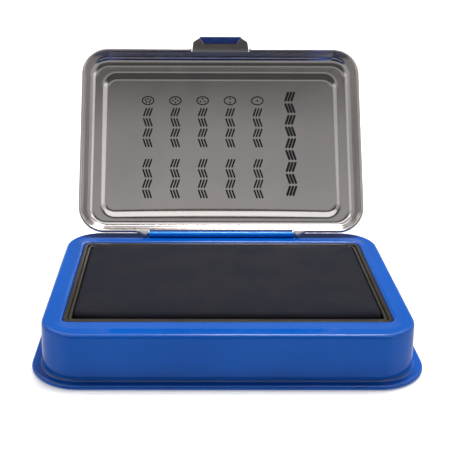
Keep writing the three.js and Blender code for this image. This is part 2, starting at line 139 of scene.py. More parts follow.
# Lid, shut, with the hinge axis as its origin; insets run in from its edge, depths up from its rim
RIM_Z = -1.0 * MM
LID_X = 61.3 * MM
LID_LENGTH = 83.3 * MM
LID_REAR = -0.65 * MM
LID_FRONT = LID_REAR - LID_LENGTH
LID_CORNER = 11.5 * MM
BEAD = 0.65 * MM                # radius of the rolled edge
BEAD_STEPS = 18
BEAD_OPEN = 20                  # the skirt starts where the roll is this many degrees short of a full turn
LEDGE_DEPTH = 6.5 * MM
PANEL_DEPTH = 7.3 * MM
SKIRT_INSET = 2.1 * MM
LEDGE_FILLET = 4.2 * MM
SKIRT_LEAN = 16                 # degrees
STEP_INSET = 8.0 * MM
STEP_FLAT = 0.4 * MM            # flat just before and after the step
STEP_PARTS = 8
PANEL_INSET = 11.5 * MM
PANEL_CORNER = 3.6 * MM
PANEL_SHIFT = 0.8 * MM          # the step and panel sit nearer the hinge than the lid's middle
PANEL_BOW = 1.3 * MM            # how far the pressed panel draws in at the middle of its hinge side
BOW_REACH = 6 * MM              # how far in from that side the bow is felt
SIDE_PARTS = 12                 # parts that a straight side is split into
CUT_IN, CUT_OUT = 3.4 * MM, 0.6 * MM    # how far a cut reaches in and out from the lid's edge
CUT_MARGIN = 1 * MM             # and past its rim
NOTCH_OUT, NOTCH_IN = 32.4 * MM, 30.9 * MM  # half widths of the hinge's notch, at the rim and at its depth
NOTCH_DEPTH = 1.55 * MM
EAR_RADIUS = 1.2 * MM
# How far an ear has grown from the bead to its full size, at distances in mm from the lid's middle
EAR_GROWTH = ((31.05, 0.2), (31.3, 0.5), (31.7, 0.82), (32.1, 1), (32.7, 1), (33.2, 0.86), (33.9, 0.62),
              (34.6, 0.36), (35.4, 0.12), (36.1, 0))
EAR_TURNS = 28

# Thumb tab
TAB_SHEET = 0.4 * MM
TAB_LIFT = 0.5 * MM             # its flat above the lid's rim
TAB_REACH = 5.6 * MM
TAB_BEND = 0.5 * MM             # inner radius where it leaves the skirt
TAB_ROOT = 3.4 * MM             # how far up the skirt it starts
TAB_FOLD = 0.05 * MM            # inner radius of the folded edge
TAB_HEM = 2.8 * MM
TAB_FLAT_PARTS, TAB_HEM_PARTS = 6, 4
TAB_COLUMNS = 9
TAB_HALF = 12.5 * MM            # half widths: at the root, at the shoulders, at the tip, at the hem's end
TAB_SHOULDER_HALF = 12.05 * MM
TAB_TIP_HALF = 9.2 * MM
TAB_HEM_HALF = 7.4 * MM
TAB_SHOULDER_REACH = 3.2 * MM
TAB_RELIEF = 0.7 * MM           # the gap beside its root, which flares outside the bead
RELIEF_FLARE = 1.2 * MM
RELIEF_LOW, RELIEF_HIGH = 0.5 * MM, 1.3 * MM

# Hinge leaf and pin
LEAF_SHEET = 0.4 * MM
LEAF_END = 0.4 * MM             # how far the strip runs past the CAD leaf's end
BARREL_RADIUS = 1.15 * MM
CURL_START, CURL_END = -75, -395
CURL_STEPS = 32
STOP_Y = leaf_high.y - HINGE.y
STOP_HEIGHT = 1.4 * MM
# Distance from the pin's end, and the share of its radius there
PEEN = ((0, 0.45), (0.12 * MM, 0.8), (0.35 * MM, 1.0))
PIN_TURNS = 20

# Printed legend, in mm: x across the lid, u from its hinge edge towards its front
BLOCK_STROKES = 3
BLOCK_LEAN = 0.25               # slant of a block's strokes, as a share of its width
TITLE_X, TITLE_TOP, TITLE_PITCH, TITLE_BLOCKS = 31.3, 66.0, 5.43, 9
TITLE_DROP = 2.6                # from a block's top to its middle
TITLE_BLOCK = (5.0, 4.7, 1.05)  # width, height, stroke
COLUMN_X, COLUMN_PITCH, COLUMNS = 16.7, 12.25, 5
COLUMN_RUNS = ((58.35, 39.33), (34.74, 16.16))
RUN_BLOCKS = 4
COLUMN_BLOCK = (4.4, 4.0, 0.75)
RING_U, RING_TURNS = 61.4, 40
RING_OUTER, RING_INNER = (2.85, 2.1), (2.3, 1.6)
DOT, DOT_SPREAD, DOT_SQUASH = 0.8, 1.15, 0.75
STROKE_STEPS, DOT_STEPS = 5, 6  # segments in each round end
INK_ABOVE, INK_BELOW = 0.03 * MM, 0.01 * MM


# ---- Mesh helpers -------------------------------------------------------------------------------------

def new_object(name, mesh, *materials):
    """A linked object with the mesh and its materials."""
    for material in materials:
        mesh.materials.append(material)
    piece = bpy.data.objects.new(name, mesh)
    bpy.context.scene.collection.objects.link(piece)
    return piece


def mesh_from(name, bm):
    """A mesh with its faces turned outwards; the bmesh is freed."""
    bmesh.ops.recalc_face_normals(bm, faces=bm.faces)
    mesh = bpy.data.meshes.new(name)
    bm.to_mesh(mesh)
    bm.free()
    return mesh


def arc(centre_a, centre_b, radius, start, end, steps):
    """Points along an arc in a section plane, both ends included; angles in degrees."""
    angles = [math.radians(start + (end - start) * i / steps) for i in range(steps + 1)]
    return [(centre_a + radius * math.cos(t), centre_b + radius * math.sin(t)) for t in angles]


def offset(path, distance):
    """The path moved to its left by distance, corners mitred."""
    moved = []
    for i, (a, b) in enumerate(path):
        before, after = path[max(i - 1, 0)], path[min(i + 1, len(path) - 1)]
        first = Vector((a - before[0], b - before[1])) if i else Vector((after[0] - a, after[1] - b))
        last = Vector((after[0] - a, after[1] - b)) if i < len(path) - 1 else first
        first.normalize()
        last.normalize()
        middle = (first + last).normalized()
        reach = distance / max(middle.dot(first), MITRE_LIMIT)
        moved.append((a - middle.y * reach, b + middle.x * reach))
    return moved


def rounded_ring(half_x, half_y, radius, z, y=0.0):
    """Points of a rounded rectangle centred on (0, y), anticlockwise from the front right corner."""
    points = []
    for quarter, (sx, sy) in enumerate(((1, -1), (1, 1), (-1, 1), (-1, -1))):
        for step in range(CORNER_STEPS + 1):
            angle = (quarter - 1 + step / CORNER_STEPS) * math.pi / 2
            points.append(Vector((sx * (half_x - radius) + radius * math.cos(angle),
                                  y + sy * (half_y - radius) + radius * math.sin(angle), z)))
    return points


def loft(name, rings, materials, ring_materials=None, caps=(), closed=False):
    """A skin through rings of equal length. caps names the ends to fill, with their material indices."""
    bm = bmesh.new()
    rows = [[bm.verts.new(point) for point in ring] for ring in rings]
    count = len(rows[0])
    pairs = list(zip(rows, rows[1:] + rows[:1])) if closed else list(zip(rows, rows[1:]))
    for index, (low, high) in enumerate(pairs):
        for i in range(count):
            j = (i + 1) % count
            face = bm.faces.new((low[i], low[j], high[j], high[i]))
            face.material_index = ring_materials[index] if ring_materials else 0
    for row, material in caps:
        face = bm.faces.new(rows[row])
        face.material_index = material
    return new_object(name, mesh_from(name, bm), *materials)


def strip(name, path, thickness, half_width, materials, columns=2):
    """Sheet bent along a (y, z) path and running along X.

    half_width is its half length, or gives it at each point. The path is one face and takes material 0.
    The other face, thickness to its left, takes material 1.
    """
    back = offset(path, thickness)
    loops = []
    for i, ((y, z), (back_y, back_z)) in enumerate(zip(path, back)):
        half = half_width(i) if callable(half_width) else half_width
        across = [half * (2 * c / (columns - 1) - 1) for c in range(columns)]
        loops.append([Vector((x, y, z)) for x in across]
                     + [Vector((x, back_y, back_z)) for x in reversed(across)])
    piece = loft(name, loops, materials, caps=((0, 0), (-1, 0)))
    for polygon in piece.data.polygons:
        on_back = sum(1 for v in polygon.vertices if v % (2 * columns) >= columns)
        polygon.material_index = 1 if on_back == len(polygon.vertices) else 0
    return piece


def prism(name, outline, low, high, turn):
    """A closed extrusion of an outline; turn maps (a, b, height) to a point."""
    rings = [[Vector(turn(a, b, height)) for a, b in outline] for height in (low, high)]
    return loft(name, rings, (), caps=((0, 0), (1, 0)))


def apply_modifiers(piece):
    """Bakes a piece's modifiers into its mesh."""
    bpy.context.view_layer.update()
    depsgraph = bpy.context.evaluated_depsgraph_get()
    mesh = bpy.data.meshes.new_from_object(piece.evaluated_get(depsgraph), depsgraph=depsgraph)
    piece.modifiers.clear()
    old, piece.data = piece.data, mesh
    bpy.data.meshes.remove(old)
    return piece


def cut(piece, cutter):
    """Takes the cutter's volume out of the piece, and removes the cutter."""
    modifier = piece.modifiers.new("cut", "BOOLEAN")
    modifier.operation = "DIFFERENCE"
    modifier.solver = "EXACT"
    modifier.object = cutter
    apply_modifiers(piece)
    bpy.data.objects.remove(cutter)


def smooth(piece, crease=CREASE):
    """Smooth shading that keeps flat faces flat and true creases sharp."""
    for polygon in piece.data.polygons:
        polygon.use_smooth = True
    piece.data.set_sharp_from_angle(angle=math.radians(crease))
    modifier = piece.modifiers.new("normals", "WEIGHTED_NORMAL")
    modifier.keep_sharp = True
    modifier.weight = FACE_WEIGHT
    return apply_modifiers(piece)


# ---- Materials ----------------------------------------------------------------------------------------

WAVE_RATE = 20                  # the wave node draws the sine of this times its scale times the distance


class Look:
    """A procedural material on the Principled shader, and short ways to add nodes to it."""

    def __init__(self, name, **uniform):
        self.material = bpy.data.materials.new(name)
        self.material.use_nodes = True
        self.nodes = self.material.node_tree.nodes
        self.links = self.material.node_tree.links
        self.shader = self.nodes["Principled BSDF"]
        self.place = self.nodes.new("ShaderNodeTexCoord").outputs["Object"]
        for socket, value in uniform.items():
            self.shader.inputs[socket.replace("_", " ")].default_value = value

    def put(self, socket, value):
        """Sets a socket to a number or colour, or links an output to it."""
        if isinstance(value, (int, float, tuple)):
            socket.default_value = (*value, 1) if isinstance(value, tuple) and len(value) == 3 else value
        else:
            self.links.new(value, socket)

    def noise(self, scale, detail=3.0, roughness=0.55, stretch=(1, 1, 1), distortion=0.0):
        """Noise in the piece's own space; scale is in cells per metre."""
        mapping = self.nodes.new("ShaderNodeMapping")
        mapping.inputs["Scale"].default_value = stretch
        self.links.new(self.place, mapping.inputs["Vector"])
        texture = self.nodes.new("ShaderNodeTexNoise")
        self.links.new(mapping.outputs["Vector"], texture.inputs["Vector"])
        for socket, value in (("Scale", scale), ("Detail", detail), ("Roughness", roughness),
                              ("Distortion", distortion)):
            texture.inputs[socket].default_value = value
        return texture.outputs["Fac"]

    def ramp(self, value, low, high, out_low=0.0, out_high=1.0):
        """A smooth step from out_low to out_high as value goes from low to high."""
        node = self.nodes.new("ShaderNodeMapRange")
        node.interpolation_type = "SMOOTHSTEP"
        self.links.new(value, node.inputs["Value"])
        for socket, number in (("From Min", low), ("From Max", high),
                               ("To Min", out_low), ("To Max", out_high)):
            node.inputs[socket].default_value = number
        return node.outputs["Result"]

    def math(self, operation, *values):
        """One arithmetic node."""
        node = self.nodes.new("ShaderNodeMath")
        node.operation = operation
        for socket, value in zip(node.inputs, values):
            self.put(socket, value)
        return node.outputs["Value"]

    def mix(self, factor, first, second):
        """A colour between two."""
        node = self.nodes.new("ShaderNodeMix")
        node.data_type = "RGBA"
        for socket, value in (("Factor_Float", factor), ("A_Color", first), ("B_Color", second)):
            self.put(next(s for s in node.inputs if s.identifier == socket), value)
        return next(s for s in node.outputs if s.identifier == "Result_Color")

    def bands(self, direction, period, distortion):
        """Parallel threads along an axis, period metres apart."""
        wave = self.nodes.new("ShaderNodeTexWave")
        wave.bands_direction = direction
        wave.inputs["Scale"].default_value = 2 * math.pi / (WAVE_RATE * period)
        wave.inputs["Distortion"].default_value = distortion
        self.links.new(self.place, wave.inputs["Vector"])
        return wave.outputs["Fac"]

    def link(self, **sockets):
        """Links node outputs to the shader's sockets."""
        for socket, value in sockets.items():
            self.links.new(value, self.shader.inputs[socket.replace("_", " ")])

    def bump(self, *layers):
        """Stacks bumps: each layer is (height, distance)."""
        normal = None
        for height, distance in layers:
            node = self.nodes.new("ShaderNodeBump")
            node.inputs["Distance"].default_value = distance
            self.links.new(height, node.inputs["Height"])
            if normal is not None:
                self.links.new(normal, node.inputs["Normal"])
            normal = node.outputs["Normal"]
        self.links.new(normal, self.shader.inputs["Normal"])


def blue_enamel(name, dark, light):
    """Glossy stoved paint with a slight orange peel and a few pale specks."""
    look = Look(name, IOR=1.5)
    cloud = look.noise(38, 4)
    colour = look.mix(look.ramp(cloud, 0.3, 0.7), dark, light)
    speck = look.ramp(look.noise(1100, 2), 0.74, 0.8, 0, 0.3)
    look.link(Base_Color=look.mix(speck, colour, (0.06, 0.18, 0.5)),
              Roughness=look.ramp(look.noise(60, 5), 0.25, 0.8, 0.05, 0.09))
    look.bump((look.noise(420, 2), 0.003 * MM), (look.noise(26, 2), 0.05 * MM))
    return look.material


def painted_shade_hem_enamel():
    """Painted shade: the same blue paint made darker and duller, standing for the shade on the tab's folded
    edge.
    """
    look = Look("painted_shade_hem_enamel", IOR=1.5)
    shade_mottle = look.noise(240, 4)
    look.link(Base_Color=look.mix(shade_mottle, (0.001, 0.011, 0.085), (0.003, 0.028, 0.17)),
              Roughness=look.ramp(shade_mottle, 0.3, 0.7, 0.16, 0.28))
    look.bump((shade_mottle, 0.02 * MM))
    return look.material


def bare_tin(name, dulling=0.0):
    """Bare tinplate, a little cloudy. dulling is added to its roughness."""
    look = Look(name, Metallic=1.0)
    grain = look.noise(1600, 3)
    cloud = look.noise(30, 4, distortion=0.6)
    smear = look.noise(60, 4)
    look.link(Base_Color=look.mix(look.ramp(cloud, 0.3, 0.75), (0.55, 0.52, 0.515), (0.62, 0.58, 0.565)),
              Roughness=look.math("ADD", look.ramp(cloud, 0.2, 0.8, 0.125 + dulling, 0.145 + dulling),
                                  look.math("ADD", look.ramp(grain, 0.3, 0.7, -0.005, 0.01),
                                            look.ramp(smear, 0.5, 0.8, 0, 0.015))))
    look.bump((grain, 0.0003 * MM), (look.noise(16, 2), 0.02 * MM))
    return look.material


def plain_steel():
    """Drawn steel with a grain along X."""
    look = Look("plain_steel", Metallic=1.0)
    grain = look.noise(700, 4, stretch=(1, 0.08, 1))
    look.link(Base_Color=look.mix(grain, (0.26, 0.26, 0.27), (0.42, 0.42, 0.43)),
              Roughness=look.ramp(grain, 0.2, 0.8, 0.25, 0.42))
    look.bump((grain, 0.006 * MM), (look.noise(20, 2), 0.1 * MM))
    return look.material


def dark_plastic(name, low, high):
    """Moulded plastic with a fine matt grain."""
    look = Look(name, Specular_IOR_Level=0.3)
    cloud = look.noise(90, 4)
    look.link(Base_Color=look.mix(cloud, low, high), Roughness=look.ramp(cloud, 0.3, 0.7, 0.28, 0.42))
    look.bump((look.noise(1500, 2), 0.008 * MM))
    return look.material


def inked_cloth():
    """Plain weave soaked in blue-black ink, with thicker threads here and there."""
    look = Look("inked_cloth", Specular_IOR_Level=0.12)
    weave = look.math("MULTIPLY", look.bands("X", THREAD, 0.2), look.bands("Y", THREAD, 0.2))
    soak = look.ramp(look.noise(55, 5), 0.3, 0.75)
    slub = look.ramp(look.noise(300, 3, stretch=(0.2, 1, 1)), 0.45, 0.75)
    ink = look.mix(soak, (0.0086, 0.0086, 0.0132), (0.0122, 0.0134, 0.0222))
    ink = look.mix(look.math("MULTIPLY", slub, 0.08), ink, (0.024, 0.024, 0.033))
    look.link(Base_Color=look.mix(look.math("MULTIPLY", weave, 0.35), ink, (0.021, 0.021, 0.029)),
              Roughness=look.ramp(soak, 0, 1, 0.62, 0.78))
    look.bump((weave, 0.04 * MM), (look.noise(120, 3), 0.12 * MM))
    return look.material


def soft_layer(name, low, high, scale):
    """Foam, felt or fibre board: a matt mottle of the given scale."""
    look = Look(name, Roughness=0.95)
    fibre = look.noise(scale, 5, 0.7)
    look.link(Base_Color=look.mix(fibre, low, high))
    look.bump((fibre, 0.2 * MM))
    return look.material


def print_ink():
    """Black printing, slightly uneven."""
    look = Look("print_ink", Specular_IOR_Level=0.2)
    patch = look.noise(700, 3)
    look.link(Base_Color=look.mix(patch, (0.005, 0.005, 0.006), (0.014, 0.014, 0.015)),
              Roughness=look.ramp(patch, 0.3, 0.7, 0.35, 0.55))
    look.bump((patch, 0.004 * MM))
    return look.material


def pale_floor():
    """Near-white matt floor that glows a little, so that it stays pale far out."""
    look = Look("pale_floor", Roughness=0.9, Emission_Color=(1, 1, 1, 1), Emission_Strength=0.3)
    look.link(Base_Color=look.mix(look.noise(3, 3), (0.86, 0.86, 0.86), (0.9, 0.9, 0.9)))
    return look.material


ENAMEL = blue_enamel("blue_enamel", (0.0005, 0.083, 0.425), (0.001, 0.094, 0.465))
# A brighter copy of the blue paint for the hinge leaf: painted light, standing for the light the strip
# catches
LIT_LEAF_ENAMEL = blue_enamel("painted_light_leaf_enamel", (0.003, 0.28, 0.95), (0.004, 0.3, 1.0))
# A darker copy of the blue paint: painted shade for the thumb tab's folded edge
SHADED_HEM_ENAMEL = painted_shade_hem_enamel()
TIN = bare_tin("bright_tin")
DULL_TIN = bare_tin("dull_tin", 0.35)
STEEL = plain_steel()
TRAY_PLASTIC = dark_plastic("tray_plastic", (0.018, 0.012, 0.009), (0.034, 0.026, 0.02))
FRAME_PLASTIC = dark_plastic("frame_plastic", (0.02, 0.0165, 0.0125), (0.036, 0.031, 0.024))
CLOTH = inked_cloth()
FOAM = soft_layer("inked_foam", (0.01, 0.012, 0.035), (0.03, 0.035, 0.08), 700)
FELT = soft_layer("inked_felt", (0.01, 0.01, 0.025), (0.035, 0.035, 0.07), 1300)
BOARD = soft_layer("fibre_board", (0.2, 0.13, 0.075), (0.32, 0.22, 0.13), 500)
INK = print_ink()


# ---- Base ---------------------------------------------------------------------------------------------

def base_case():
    """One pressed sheet: rolled foot hem, flange, side, shoulder, border, and the opening's lip."""
    roll = HEM_HEIGHT / 2
    outside = [(FLANGE_REACH - roll - HEM_LIP, 0)]
    outside += arc(FLANGE_REACH - roll, roll, roll, -90, 90, ROLL_STEPS)
    outside += arc(WALL_DRAFT + FOOT_FILLET, HEM_HEIGHT + FOOT_FILLET, FOOT_FILLET, 270, 180, BEND_STEPS)
    outside += arc(-SHOULDER, BASE_TOP - SHOULDER, SHOULDER, 0, 90, BEND_STEPS)
    lip = arc(LIP_ROLL, BASE_TOP - LIP_ROLL, LIP_ROLL, 90, 180, LIP_STEPS)
    lip += [(0, BASE_TOP - LIP_DROP)]

    def rings_at(side, edge):
        around = [rounded_ring(BASE_X + reach, BASE_Y + reach, BASE_CORNER + reach, z) for reach, z in side]
        opening = [rounded_ring(OPENING_X + reach, OPENING_Y + reach, OPENING_CORNER + reach, z, PAD_Y)
                   for reach, z in edge]
        return around + opening

    inside = rings_at(offset(outside, SHEET), offset(lip, -SHEET))
    rings = rings_at(outside, lip) + inside[::-1]
    return smooth(loft("base_case", rings, (ENAMEL,), closed=True))


def bottom_plate():
    """The plate in the foot hem: a raised edge, a slope down, and the flush middle."""
    edge_z = SHEET + PLATE_LIFT
    end = FLANGE_REACH - HEM_HEIGHT / 2 - PLATE_END_GAP
    slope_top = FLANGE_REACH - HEM_HEIGHT / 2 - HEM_LIP - PLATE_LIP_GAP
    slope_foot = slope_top - PLATE_SLOPE
    below = [(end, edge_z), (slope_top, edge_z), (slope_foot, 0), (slope_foot - PLATE_BORDER, 0)]
    section = below[::-1] + offset(below, -SHEET)
    rings = [rounded_ring(BASE_X + reach, BASE_Y + reach, BASE_CORNER + reach, z) for reach, z in section]
    return smooth(loft("base_plate", rings, (STEEL,), caps=((0, 0), (-1, 0))))


# ---- Hinge --------------------------------------------------------------------------------------------

def hinge_leaf():
    """Strip curled round the pin, running back along the border and turned up as the lid's stop."""
    foot = leaf_low.z - HINGE.z
    bend = LEAF_SHEET
    path = [(STOP_Y, foot + STOP_HEIGHT)]
    path += arc(STOP_Y - bend, foot + bend, bend, 0, -90, EDGE_STEPS)
    path += [(BARREL_RADIUS, foot)]
    path += arc(0, 0, BARREL_RADIUS, CURL_START, CURL_END, CURL_STEPS)
    # Both faces take the brighter copy of the paint: painted light
    both_faces = (LIT_LEAF_ENAMEL, LIT_LEAF_ENAMEL)
    leaf = strip("hinge_leaf_strip", path, -LEAF_SHEET, leaf_high.x + LEAF_END, both_faces)
    leaf.data.transform(Matrix.Translation(HINGE))
    return smooth(leaf)


def hinge_pin():
    """Round wire with peened, slightly domed ends."""
    radius = (pin_high.y - pin_low.y) / 2
    profile = [(distance - pin_high.x, share) for distance, share in PEEN]
    profile += [(-x, share) for x, share in reversed(profile)]
    turns = [2 * math.pi * i / PIN_TURNS for i in range(PIN_TURNS)]
    rings = []
    for x, share in profile:
        reach = radius * share
        rings.append([HINGE + Vector((x, reach * math.cos(t), reach * math.sin(t))) for t in turns])
    return smooth(loft("hinge_wire", rings, (STEEL,), caps=((0, 0), (-1, 0))))


# ---- Tray and frame -----------------------------------------------------------------------------------

def rounded_edge(inner, top, radius):
    """The top of a wall that runs from 0 in to inner, with both its edges rounded."""
    centre = top - radius
    outer_edge = arc(-radius, centre, radius, 0, 90, EDGE_STEPS)
    return outer_edge + arc(inner + radius, centre, radius, 90, 180, EDGE_STEPS)


def ink_tray():
    """Moulded dish: rounded rim, side, trapped flange, floor."""
    flange_top = BASE_TOP - LIP_DROP - TRAY_SEAT_GAP
    flange_low = flange_top - TRAY_PLATE
    floor_top = TRAY_FLOOR_Z + TRAY_PLATE
    section = [(-TRAY_FLOOR_STEP, TRAY_FLOOR_Z), (0, TRAY_FLOOR_Z), (0, flange_low),
               (TRAY_FLANGE, flange_low), (TRAY_FLANGE, flange_top), (0, flange_top)]
    section += rounded_edge(-TRAY_WALL, tray_high.z, TRAY_EDGE)
    section += [(-TRAY_WALL, floor_top), (-TRAY_FLOOR_STEP, floor_top)]
    rings = [rounded_ring(TRAY_X + reach, TRAY_Y + reach, TRAY_CORNER + reach, z, PAD_Y)
             for reach, z in section]
    return smooth(loft("ink_dish", rings, (TRAY_PLASTIC,), caps=((0, 0), (-1, 0))))


def pad_frame():
    """The band that holds the cloth down, with a rounded top."""
    half_x, half_y = frame_high.x, frame_high.y - PAD_Y
    section = [(-FRAME_WALL, frame_low.z), (0, frame_low.z)]
    section += rounded_edge(-FRAME_WALL, frame_high.z, FRAME_EDGE)
    rings = [rounded_ring(half_x + reach, half_y + reach, FRAME_CORNER + reach, z, PAD_Y)
             for reach, z in section]
    return smooth(loft("grip_frame", rings, (FRAME_PLASTIC,), closed=True))


# ---- Pad ----------------------------------------------------------------------------------------------

def rolled_slab(name, inset, low, material):
    """A slab inset from the pad's outline, with a rounded lower edge and a top rolled over softly."""
    edge = PAD_LOW_EDGE
    half_x, half_y = cloth_high.x - PAD_SHRINK - inset, cloth_high.y - PAD_Y - PAD_SHRINK - inset
    top = cloth_high.z - PAD_SWELL - inset
    middle = -PAD_ROLL_IN - PAD_MIDDLE
    section = [(middle, low), (-edge, low)]
    section += arc(-edge, low + edge, edge, -90, 0, PAD_LOW_STEPS)
    section += [(PAD_ROLL_IN * (a - 1), top + PAD_ROLL_DOWN * (b - 1))
                for a, b in arc(0, 0, 1, 0, 90, ROLL_STEPS)]
    section += [(middle, top)]
    rings = [rounded_ring(half_x + reach, half_y + reach, max(PAD_CORNER + reach, LEAST_CORNER), z, PAD_Y)
             for reach, z in section]
    return loft(name, rings, (material,), caps=((0, 0), (-1, 0)))


def foam_core():
    """The soft layer inside the cloth, a little smaller than the cloth all round."""
    return smooth(rolled_slab("foam_core", FOAM_INSET, foam_low.z, FOAM), SOFT_CREASE)


def remesh(piece):
    """An even mesh over a piece's skin, with the skin's own materials."""
    modifier = piece.modifiers.new("remesh", "REMESH")
    modifier.mode = "VOXEL"
    modifier.voxel_size = VOXEL
    return apply_modifiers(piece)


def swell(piece, grip_z):
    """Blows the skin up a little above grip_z with Blender's Cloth, by SWELL_CAP at most."""
    grip = piece.vertex_groups.new(name="grip")
    for vertex in piece.data.vertices:
        if vertex.co.z < grip_z:
            grip.add([vertex.index], 1.0, "REPLACE")
    rest = [vertex.co.copy() for vertex in piece.data.vertices]

    cloth = piece.modifiers.new("cloth", "CLOTH")
    cloth.settings.quality = SWELL_QUALITY
    cloth.settings.vertex_group_mass = "grip"
    cloth.settings.use_pressure = True
    cloth.settings.uniform_pressure_force = SWELL_PRESSURE
    cloth.settings.effector_weights.gravity = 0
    cloth.settings.tension_stiffness = SWELL_STRETCH
    cloth.settings.compression_stiffness = SWELL_STRETCH
    cloth.settings.bending_stiffness = SWELL_BEND
    cloth.point_cache.frame_start = 1
    cloth.point_cache.frame_end = SWELL_FRAMES
    for number in range(1, SWELL_FRAMES + 1):
        bpy.context.scene.frame_set(number)
    apply_modifiers(piece)
    bpy.context.scene.frame_set(1)

    for vertex, start in zip(piece.data.vertices, rest):
        move = vertex.co - start
        if move.length > 0:
            vertex.co = start + move * (SWELL_CAP * math.tanh(move.length / SWELL_CAP) / move.length)


def ease(piece, rounds):
    """Relaxes a piece's mesh, so that no crease or voxel step shows."""
    modifier = piece.modifiers.new("ease", "SMOOTH")
    modifier.factor = 0.5
    modifier.iterations = rounds
    return apply_modifiers(piece)


def stamp_pad():
    """The cloth-covered pad: a slab remeshed evenly, swollen above the frame, and relaxed."""
    piece = ease(remesh(rolled_slab("stamp_cloth", 0, cloth_low.z, CLOTH)), EASE_BEFORE)
    swell(piece, frame_high.z - GRIP_DEPTH)
    ease(piece, EASE_AFTER)
    modifier = piece.modifiers.new("finer", "SUBSURF")
    modifier.levels = 1
    modifier.render_levels = 1
    apply_modifiers(piece)
    for polygon in piece.data.polygons:
        polygon.use_smooth = True
    return piece


# ---- Lid ----------------------------------------------------------------------------------------------

def lid_section():
    """The bare face of the lid's sheet, from the end of its outward curl to the edge of its panel."""
    fillet_a, fillet_d = SKIRT_INSET + LEDGE_FILLET, LEDGE_DEPTH - LEDGE_FILLET
    section = arc(BEAD, BEAD, BEAD, 100, 360 - BEAD_OPEN, BEAD_STEPS)
    section += arc(fillet_a, fillet_d, LEDGE_FILLET, 180 - SKIRT_LEAN, 90, ROLL_STEPS)
    section += [(STEP_INSET - STEP_FLAT, LEDGE_DEPTH)]
    for i in range(STEP_PARTS + 1):
        t = i / STEP_PARTS
        section.append((STEP_INSET + (PANEL_INSET - STEP_INSET) * t,
                        LEDGE_DEPTH + (PANEL_DEPTH - LEDGE_DEPTH) * t * t * (3 - 2 * t)))
    return section + [(PANEL_INSET + STEP_FLAT, PANEL_DEPTH)]


def lid_outline(inset, radius, z, shift):
    """The lid's outline, inset and shifted back. Its straight sides have points between the corners."""
    middle = LID_REAR - LID_LENGTH / 2 + shift
    ring = rounded_ring(LID_X - inset, LID_LENGTH / 2 - inset, radius, z, middle)
    outline = []
    for i, point in enumerate(ring):
        following = ring[(i + 1) % len(ring)]
        parts = SIDE_PARTS if i % (CORNER_STEPS + 1) == CORNER_STEPS else 1
        outline += [point.lerp(following, part / parts) for part in range(parts)]
    return outline


def lid_ring(inset, depth):
    """One ring of the lid. Its corner radius runs from the rim's to the panel's across the ledge."""
    ledge_start = SKIRT_INSET + LEDGE_FILLET
    share = min(max((inset - ledge_start) / (STEP_INSET - ledge_start), 0), 1)
    outer = LID_CORNER - inset
    inner = PANEL_CORNER + PANEL_INSET - inset
    radius = max(outer + (inner - outer) * share, LEAST_CORNER)
    ring = lid_outline(inset, radius, RIM_Z + depth, PANEL_SHIFT * share)
    bow = PANEL_BOW * min(max((inset - STEP_INSET) / (PANEL_INSET - STEP_INSET), 0), 1)
    for point in ring:
        if point.y > LID_REAR - PANEL_INSET - BOW_REACH:
            point.y -= bow * (1 - (point.x / LID_X) ** 2)
    return ring


def lid_pan():
    """The pressed lid, bare inside and painted outside, notched for the hinge and relieved at the tab."""
    bare = lid_section()
    painted = offset(bare, SHEET)
    rings = [lid_ring(*point) for point in reversed(bare)] + [lid_ring(*point) for point in painted]
    looks = [0] * len(bare) + [1] * (len(painted) - 1)
    pan = loft("lid_pan", rings, (TIN, ENAMEL), looks, caps=((0, 0), (-1, 1)))

    def seen_from_behind(a, b, height):
        return a, height, RIM_Z + b

    low = -CUT_MARGIN
    foot = NOTCH_OUT + CUT_MARGIN
    notch = [(-foot, low), (foot, low), (NOTCH_IN, NOTCH_DEPTH), (-NOTCH_IN, NOTCH_DEPTH)]
    cut(pan, prism("notch", notch, LID_REAR - CUT_IN, LID_REAR + CUT_OUT, seen_from_behind))
    mouth = TAB_HALF + TAB_RELIEF
    flare = mouth + RELIEF_FLARE
    relief = [(-flare, low), (flare, low), (mouth, RELIEF_LOW), (TAB_HALF, RELIEF_HIGH),
              (-TAB_HALF, RELIEF_HIGH), (-mouth, RELIEF_LOW)]
    cut(pan, prism("relief", relief, LID_FRONT - CUT_OUT, LID_FRONT + CUT_IN, seen_from_behind))
    return smooth(pan)


